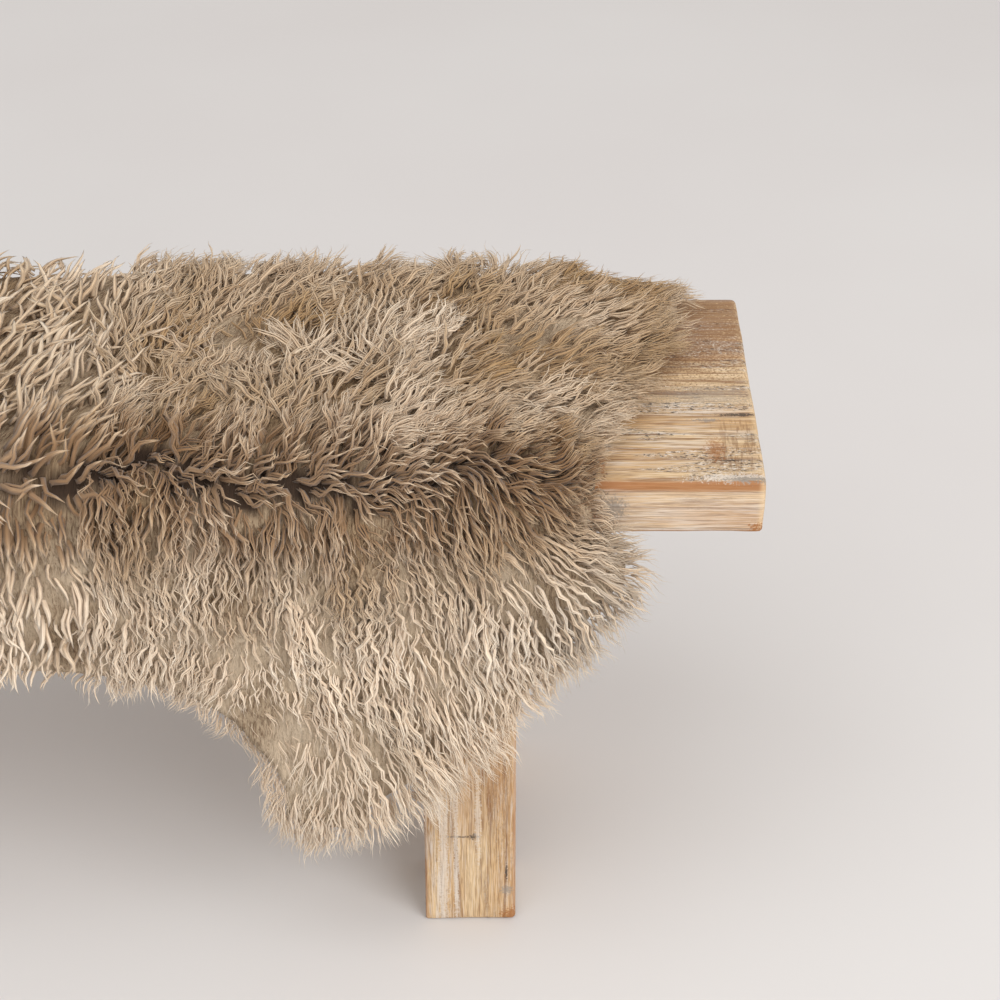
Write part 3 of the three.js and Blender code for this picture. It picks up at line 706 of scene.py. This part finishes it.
def with_bends(skin, low_x, high_x, low, high, pitch, seed):
    """Root places of locks, closer together where the skin bends over an edge and at its rim."""
    x, across = lock_places(skin, low_x, high_x, low, high, pitch, seed)
    near = [(x, across)]
    for bend, closer in ((0.0, FRONT_PITCH), (-SEAT_DEPTH, BACK_PITCH)):
        start, stop = max(low, bend - BEND_REACH), min(high, bend + BEND_REACH)
        if start < stop:
            near.append(lock_places(skin, low_x, high_x, start, stop, pitch * closer, seed + 50))
    extra = lock_places(skin, low_x, high_x, low, high, pitch * RIM_PITCH, seed + 70)
    at_rim = rim_distance(skin, *extra)[0] < RIM_REACH
    near.append((extra[0][at_rim], extra[1][at_rim]))
    return (np.concatenate(part) for part in zip(*near))


def clump_of(skin, x, across):
    """The clump that each lock grows into: its number, and its middle on the hide."""
    middles = np.stack(skin["clumps"])
    low, high = np.array([x.min(), across.min()]), np.array([x.max(), across.max()])
    near = np.all((middles.T > low - 3 * CLUMP_PITCH) & (middles.T < high + 3 * CLUMP_PITCH), axis=1)
    middle_x, middle_across = middles[:, near]
    nearest = np.argmin((x[:, None] - middle_x) ** 2 + (across[:, None] - middle_across) ** 2, axis=1)
    return np.flatnonzero(near)[nearest], middle_x[nearest], middle_across[nearest]


def unit(v):
    return v / (np.linalg.norm(v, axis=-1, keepdims=True) + 1e-12)


def read_path(path, share):
    """Points at shares of the way along paths, each of which has the same number of even steps."""
    at = np.clip(share * STEPS, 0, path.shape[1] - 1.001)
    low = at.astype(int)
    part = (at - low)[..., None]
    row = np.arange(len(path))[:, None]
    return path[row, low] * (1 - part) + path[row, low + 1] * part


def bundles(line, side, radius, flat, rough, spin, shift):
    """Closed tapering bundles along lines (count, rings, 3), each ending in a point. Returns their
    vertices, their triangles, and each vertex's place in the bundle as if it were straight."""
    count, rings = line.shape[:2]
    heading = unit(np.gradient(line, axis=1))
    wide = unit(side - np.sum(side * heading, -1, keepdims=True) * heading)
    high = np.cross(heading, wide)
    way = 2 * math.pi * np.arange(CORNERS) / CORNERS + spin[:, None, None]
    reach = radius[:, :-1, None] * rough[:, None, :]
    off_wide, off_high = np.cos(way) * reach, np.sin(way) * reach * flat
    body = line[:, :-1, None] + off_wide[..., None] * wide[:, :-1, None]
    body = body + off_high[..., None] * high[:, :-1, None]
    vertices = np.concatenate([body.reshape(count, -1, 3), line[:, -1:]], 1)
    run = np.cumsum(np.linalg.norm(np.diff(line, axis=1, prepend=line[:, :1]), axis=-1), 1)
    runs = np.broadcast_to(run[:, :-1, None], reach.shape)
    straight = np.stack([off_wide, off_high, runs], -1).reshape(count, -1, 3)
    tips = np.stack([np.zeros(count), np.zeros(count), run[:, -1]], -1)[:, None]
    straight = np.concatenate([straight, tips], 1) + shift[:, None]
    pattern = [(0, k + 1, k) for k in range(1, CORNERS - 1)]
    for r in range(rings - 2):
        for k in range(CORNERS):
            a, b = r * CORNERS + k, r * CORNERS + (k + 1) % CORNERS
            pattern += [(a, b, b + CORNERS), (a, b + CORNERS, a + CORNERS)]
    last = (rings - 2) * CORNERS
    pattern += [(last + k, last + (k + 1) % CORNERS, last + CORNERS) for k in range(CORNERS)]
    first = np.arange(count) * vertices.shape[1]
    triangles = np.array(pattern)[None] + first[:, None, None]
    return vertices.reshape(-1, 3), triangles.reshape(-1, 3), straight.reshape(-1, 3)


wool = Finish("long_wool", WOOL_ROOT, Roughness=0.9, Sheen_Weight=0.2, Sheen_Roughness=0.5)
wool_along, wool_tone = wool.attribute("along"), wool.attribute("tone")
straight_wool = wool.attribute("fibre", "Vector")
streaks = wool.noise(wool.stretched(straight_wool, (1, 1, 0.08)), 900, 2, 0.6)
fibres = wool.noise(wool.stretched(straight_wool, (1, 1, 0.03)), 2600, 2, 0.6)
# The 'hanging' attribute is the share of painted light: where it is high the roots are painted paler,
# as a painted fill light between the locks.
hanging = wool.attribute("hanging")
wool.coat(hanging.step(0.65, 1.0), WOOL_ROOT_PAINTED_LIGHT)
wool_root = wool.colour
wool.coat(wool_along.step(0.1, 0.62), WOOL_MIDDLE)
wool.coat(streaks.step(0.53, 0.4) * 0.35 + fibres.step(0.52, 0.4) * 0.35, wool_root)
pale_streak = streaks.step(0.48, 0.62) * wool_along.step(0.2, 0.6) * 0.5
wool_pale = wool_along.step(0.5, 1.0) * 0.6 + pale_streak
wool.coat(wool_pale * (wool_tone * 0.9 + 0.1), WOOL_TIP)
wool.coat(wool.attribute("grey"), WOOL_GREY)
# Painted shade: where the share of painted light is low, as on the seat, the wool is dimmed.
wool.coat(1 - hanging, WOOL_PAINTED_SHADE, "MULTIPLY")
wool.bump(streaks * 0.5 + fibres * 0.5, 0.5, 0.0008)

# How locks are made up of bundles of fibres. Each has a number of sections, the shares of the lock
# where it starts and stops, its girth, how round it is, how far it strays, how much paler it is and
# how much longer its waves are.
FINEST, CORNERS = 0.001, 3
MAKE = ("rings", "from", "to", "girth", "flat", "stray", "pale", "calm")
BUNDLE = dict(zip(MAKE, (7, 0.49, 1.0, 0.0017, 0.75, 0.0, -0.05, 1.0)))
STRAND = dict(zip(MAKE, (7, 0.53, 1.06, 0.0007, 1.0, 0.9, 0.08, 1.0)))
COARSE = dict(zip(MAKE, (6, 0.44, 1.03, 0.0025, 0.65, 0.0, 0.05, 1.5)))
HAIR = dict(zip(MAKE, (5, 0.4, 1.12, 0.0005, 1.0, 0.4, 0.2, 1.5)))
WAVE_SIZE, WAVE_LENGTH, WOBBLE = 0.0018, 0.0165, 0.003
CLUMP_SEED = 77
GREY_X, GREY_ACROSS, GREY_REACH = 0.85, 0.085, 0.05
TAPER = ((0, 0.8), (0.3, 1.0), (0.6, 0.8), (0.85, 0.42), (1, 0.05))


def joined(name, parts):
    """One piece from parts, each with its vertices and triangles, and for every vertex its place in the
    straightened bundle, its share of the lock, its tone, its greyness and its share of painted light."""
    starts = np.cumsum([0] + [len(part[0]) for part in parts])
    vertices = np.concatenate([part[0] for part in parts])
    triangles = np.concatenate([part[1] + start for part, start in zip(parts, starts)])
    mesh = bpy.data.meshes.new(name)
    mesh.vertices.add(len(vertices))
    mesh.vertices.foreach_set("co", vertices.astype(np.float32).ravel())
    mesh.loops.add(triangles.size)
    mesh.loops.foreach_set("vertex_index", triangles.astype(np.int32).ravel())
    mesh.polygons.add(len(triangles))
    mesh.polygons.foreach_set("loop_start", np.arange(0, triangles.size, 3, dtype=np.int32))
    mesh.polygons.foreach_set("use_smooth", np.ones(len(triangles), bool))
    mesh.update(calc_edges=True)
    mesh.materials.append(wool.material)
    piece = in_scene(name, mesh)
    for column, field in enumerate(("fibre", "along", "tone", "grey", "hanging"), 2):
        set_field(piece, field, np.concatenate([part[column] for part in parts]))
    return piece


def wool_piece(name, skin, x, across, layers, seed):
    """Locks rooted at the given places, each of layers of bundles, as one joined mesh."""
    rng = np.random.default_rng(seed)
    locks = len(x)
    points, normals, downs = hide_at(x, across)
    along, down, grow, on_front = lay_of_wool(skin, x, across)
    clump, middle_x, middle_across = clump_of(skin, x, across)

    # Six numbers from -1 to 1 that all the locks of a clump share.
    own = np.random.default_rng(CLUMP_SEED).uniform(-1, 1, (len(skin["clumps"][0]), 6))[clump].T

    # Where each lock stands on the skin.
    inside, from_end, _ = rim_distance(skin, x, across)
    past = across - parting_at(x)
    in_crease, below_crease = close_to(past, CREASE_REACH), close_to(past - 0.005, BELOW_CREASE)
    in_cleft = in_cleft_at(x, across)
    near_rim = np.exp(-np.maximum(inside, 0) / RIM_FADE)
    over_back = smooth(across, -SEAT_DEPTH + 0.06, -SEAT_DEPTH)
    behind = behind_seat(across)
    bent_back = over_back - behind
    low_front = smooth(across, 0.1, 0.22)

    # The way it grows: out of the skin, over into its lay, down where it hangs, and to its clump.
    turn = rng.normal(0, 0.12, locks) + own[0] * (0.6 - 0.35 * on_front)
    turned_along = along * np.cos(turn) - down * np.sin(turn)
    turned_down = along * np.sin(turn) + down * np.cos(turn)
    lay = turned_along[:, None] * np.array([1.0, 0, 0]) + turned_down[:, None] * downs
    beside = unit(np.cross(normals, lay))
    length = LOCK_LENGTH * (1 + grow + 0.1 * waves(x, across, 0.05, 21) + 0.1 * own[1])
    length *= rng.uniform(0.88, 1.08, locks)
    length *= (1 - 0.3 * near_rim) * (1 - 0.15 * in_crease) * (1 - 0.12 * bent_back)
    lean_root = ROOT_LEAN + 42 * near_rim + 8 * bent_back + 3 * on_front
    lean_root = np.radians(lean_root + rng.normal(0, 5, locks))
    lean_tip = TIP_LEAN + 6 * on_front + 8 * over_back - 6 * behind + 7 * near_rim - 12 * in_crease
    lean_tip = np.radians(lean_tip) + rng.normal(0, 0.1, locks)
    hang = np.maximum(0.12 + 0.88 * on_front, over_back)
    hang *= 1 - 0.75 * np.exp(-np.maximum(from_end, 0) / 0.03)
    share = np.linspace(0, STEPS_PAST / STEPS, STEPS_PAST + 1)
    lean = lean_root[:, None] + (lean_tip - lean_root)[:, None] * np.minimum(share, 1) ** 0.6
    steps = np.cos(lean)[..., None] * normals[:, None] + np.sin(lean)[..., None] * lay[:, None]
    steps[..., 2] -= hang[:, None] * share**1.5 * 0.7
    path = np.cumsum(unit(steps)[:, :-1], 1) * (length[:, None, None] / STEPS)
    path = np.concatenate([np.zeros_like(path[:, :1]), path], 1)
    gather = hide_at(middle_x, middle_across)[0] - points
    gathering = (CLUMPING + 0.3 * in_crease)[:, None] * share**1.3
    path += (points + normals * (LEATHER + ROOT_LIFT))[:, None] + gather[:, None] * gathering[..., None]

    # Its waves, and its colour.
    tightness = 0.4 + 0.6 * smooth(waves(x, across, 0.16, 33), -0.8, 0.6)
    tightness = tightness * (1 - 0.6 * np.exp(-np.maximum(inside, 0) / 0.05))
    tightness = tightness * (1 - 0.6 * bent_back) * (1 - 0.35 * low_front)
    wave_size = WAVE_SIZE * (0.8 + 0.3 * on_front + 0.7 * in_crease) * tightness
    wave_size = wave_size * (1 + 0.4 * own[2]) * rng.uniform(0.8, 1.2, locks)
    wave_length = WAVE_LENGTH * (1 + 0.3 * in_crease) * (1 + 0.2 * own[3])
    phase, bend_phase = math.pi * own[4:6] + rng.normal(0, 0.4, (2, locks))
    lock_tone = 0.5 + 0.28 * waves(x, across, 0.06, 41) + 0.12 * rng.normal(0, 1, locks)
    # Besides their own tone, the locks are painted less pale in the crease and in the hollows, as
    # painted shade, and a little paler on the crowns, as painted light.
    lock_tone = lock_tone + 0.15 * own[5] + 0.15 * over_back - 0.2 * in_crease
    lock_tone = lock_tone + np.minimum(grow, 0.15)
    greyed = 0.5 * close_to(np.hypot(x - GREY_X, across - GREY_ACROSS), GREY_REACH)
    greyed = greyed * (rng.uniform(0, 1, locks) < 0.6)

    parts = []
    for layer in layers:
        rings, stray = layer["rings"], layer["stray"]
        start = layer["from"] * (1 - 0.35 * below_crease - 0.4 * in_cleft)[:, None]
        at = start + (layer["to"] - start) * np.linspace(0, 1, rings)
        at = at * rng.uniform(0.93, 1.06, (locks, 1))
        if layer["girth"] > FINEST:
            at = at * (1 - 0.12 * near_rim[:, None])
        line = read_path(path, at)
        side = np.broadcast_to(beside[:, None], line.shape)
        lift = unit(np.cross(unit(np.gradient(line, axis=1)), side))
        turns = 2 * math.pi * (length / wave_length)[:, None] * at / layer["calm"]
        turns = turns + (phase + stray * rng.normal(0, 0.5, locks))[:, None]
        size = (wave_size * (1 + stray * rng.uniform(-0.2, 0.5, locks)))[:, None]
        swell = smooth(at, 0.1, 0.5)
        bends = 2 * math.pi * 1.1 * at + bend_phase[:, None]
        off_side = size * swell * np.sin(turns) + WOBBLE * swell * np.sin(bends)
        off_lift = size * 0.5 * swell * np.cos(turns)
        drift = stray * layers[0]["girth"] * rng.uniform(-1, 1, (locks, 2))
        off_side = off_side + drift[:, :1] * (1.1 - 0.6 * at)
        off_lift = off_lift + stray * 0.0022 + drift[:, 1:] * 0.3
        line = line + off_side[..., None] * side + off_lift[..., None] * lift
        # No lock sinks into the plank.
        over_seat = (line[..., 1] > seat_low.y) & (line[..., 1] < seat_high.y)
        over_seat &= line[..., 2] > seat_high.z - 0.03
        lowest = seat_high.z + 0.001 + layer["girth"] * 0.6
        line[..., 2] = np.where(over_seat, np.maximum(line[..., 2], lowest), line[..., 2])
        thick = layer["girth"] * rng.uniform(0.7, 1.3, locks) * (1 - 0.38 * near_rim)
        thick = thick * (1 + 0.2 * in_crease) * (1 - 0.35 * low_front - 0.35 * bent_back)
        radius = thick[:, None] * np.interp(np.linspace(0, 1, rings), *zip(*TAPER))
        rough = rng.uniform(0.8, 1.2, (locks, CORNERS))
        spin, shift = rng.uniform(0, 2 * math.pi, locks), rng.uniform(0, 9, (locks, 3))
        made = bundles(line, side, radius, layer["flat"], rough, spin, shift)
        share_at = np.concatenate([np.repeat(at[:, :-1], CORNERS, 1), at[:, -1:]], 1)
        # Painted shade: in the crease more of each lock takes its darker root colour.
        crease = in_crease[:, None]
        share_at = share_at ** (1 + 3.0 * crease) * (1 - 0.36 * crease)
        tone = np.clip(lock_tone + layer["pale"] + 0.12 * rng.normal(0, 1, locks), 0, 1)
        of_lock = (tone, greyed, painted_light_at(x, across, grow))
        fields = [np.repeat(values, (rings - 1) * CORNERS + 1) for values in of_lock]
        parts.append((*made, share_at.ravel(), *fields))
    return joined(name, parts)


# Each stretch of wool: its skin and name, the make of its locks, the part of the rug that it covers
# along and across, and the edges whose nodes of rim locks it stands for.
FINE, PLAIN = (BUNDLE, STRAND), (COARSE,)
FINE_PITCH, PLAIN_PITCH = 0.0068, 0.0114
NECK_FROM, SHOULDER_FROM, FORELEG_FROM = 0.7, 0.585, 0.66
PAST_SEAM, PAST_NECK, PAST_FRONT, PAST_BACK = 0.03, 1.0, 0.4, -0.6
BACK_EDGE = -SEAT_DEPTH - 0.01
fronts = [f"front_edge_{{}}_{number}" for number in (1, 2, 3, 4)]
backs = ["back_end_{}", *(f"back_edge_{{}}_{number}" for number in (1, 2, 3))]
stretches = [
    ("right", "neck", FINE, (NECK_FROM, PAST_NECK), (BACK_EDGE, 0.0), ["top_end_{}"]),
    ("right", "shoulder", FINE, (SHOULDER_FROM, NECK_FROM), (BACK_EDGE, 0.0), []),
    ("right", "loin", FINE, (FINE_FROM, SHOULDER_FROM), (BACK_EDGE, 0.0), []),
    ("right", "foreleg", FINE, (FORELEG_FROM, PAST_NECK), (0.0, PAST_FRONT),
     [fronts[3], "front_end_{}"]),
    ("right", "belly", FINE, (FINE_FROM, FORELEG_FROM), (0.0, PAST_FRONT), [fronts[2]]),
    ("right", "rump", PLAIN, (0.0, FINE_FROM), (BACK_EDGE, 0.0), []),
    ("right", "thigh", PLAIN, (0.0, FINE_FROM), (0.0, PAST_FRONT), fronts[:2]),
    ("right", "back", PLAIN, (0.0, PAST_NECK), (PAST_BACK, BACK_EDGE), backs),
    ("left", "top", PLAIN, (-PAST_NECK, PAST_SEAM), (BACK_EDGE, 0.0), ["top_end_{}"]),
    ("left", "front", PLAIN, (-PAST_NECK, PAST_SEAM), (0.0, PAST_FRONT), [*fronts, "front_end_{}"]),
    ("left", "back", PLAIN, (-PAST_NECK, PAST_SEAM), (PAST_BACK, BACK_EDGE), backs),
]
for skin in skins.values():
    skin["clumps"] = lock_places(skin, -PAST_NECK, PAST_NECK, PAST_BACK, PAST_FRONT, CLUMP_PITCH, 90)
    skin["wool"] = []
for number, (skin_name, part, layers, run, drop, rim_nodes) in enumerate(stretches):
    skin = skins[skin_name]
    pitch = FINE_PITCH if layers is FINE else PLAIN_PITCH
    x, across = with_bends(skin, *run, *drop, pitch, 100 + number)
    piece = wool_piece(f"wool_{skin_name}_{part}", skin, x, across, layers, 200 + number)
    if rim_nodes:
        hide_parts(*("locks_" + node.format(skin_name) for node in rim_nodes))
    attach(piece, "root")
    skin["wool"].append(piece)

# Loose hairs along the right skin's rim and its bend over the seat's back edge, finer than the
# locks, that blur the outline.
HAIR_PITCH, HAIR_REACH = 0.0043, 0.012
skin = skins["right"]
x, across = lock_places(skin, FINE_FROM, PAST_NECK, PAST_BACK, PAST_FRONT, HAIR_PITCH, 150)
at_rim = rim_distance(skin, x, across)[0] < HAIR_REACH
at_back_bend = np.abs(across + SEAT_DEPTH - 0.012) < 0.02
loose = at_rim | at_back_bend
hairs = wool_piece("wool_right_loose_hairs", skin, x[loose], across[loose], (HAIR,), 250)
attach(hairs, "root")
skin["wool"].append(hairs)

# The flat width and length of the places on each skin.
for skin in skins.values():
    x, across = skin_grid(skin, SKIN_COLUMNS, SKIN_ROWS)
    flat_width = across.max() - across.min()
    flat_length = abs(x - SEAM_X).max()


# Floor and light: a pale plain floor under the posts, and soft daylight from a window at the front
# and right and from the sky above, with an even light all round.
FLOOR_SIZE, FLOOR_DROP = 9, 0.0003
FLOOR_COOL, FLOOR_PALE = (0xD5, 0xD2, 0xD1), (0xD8, 0xD6, 0xD5)
ROOM_LIGHT, ROOM_STRENGTH = (0xED, 0xE8, 0xE4), 0.74

floor_finish = Finish("pale_floor", FLOOR_COOL, Roughness=0.7)
floor_patches = floor_finish.noise(floor_finish.place(), 1.3, 3)
floor_finish.coat(floor_patches.step(0.3, 0.7), FLOOR_PALE)
corners = [(x * FLOOR_SIZE, y * FLOOR_SIZE, 0) for x, y in ((-1, -1), (1, -1), (1, 1), (-1, 1))]
ground = mesh_object("floor", corners, [(0, 1, 2, 3)], floor_finish.material)
ground.location.z = -FLOOR_DROP


def soft_light(name, place, target, size, power, colour):
    lamp = bpy.data.lights.new(name, "AREA")
    lamp.shape = "SQUARE"
    lamp.size = size
    lamp.energy = power
    lamp.color = colour
    light = in_scene(name, lamp)
    light.location = place
    light.rotation_euler = (Vector(target) - Vector(place)).to_track_quat("-Z", "Y").to_euler()


soft_light("window", (4.4, -4.6, 3.9), (0.5, 0, 0.4), 4.6, 300, (0.99, 0.985, 0.98))
soft_light("sky", (-0.9, -2.4, 5.6), (0.2, 0, 0.4), 5.0, 155, (0.96, 0.985, 1.0))

world = bpy.data.worlds.new("studio")
world.use_nodes = True
world.node_tree.nodes["Background"].inputs["Color"].default_value = linear(ROOM_LIGHT)
world.node_tree.nodes["Background"].inputs["Strength"].default_value = ROOM_STRENGTH
bpy.context.scene.world = world
bpy.context.scene.view_settings.view_transform = "Standard"
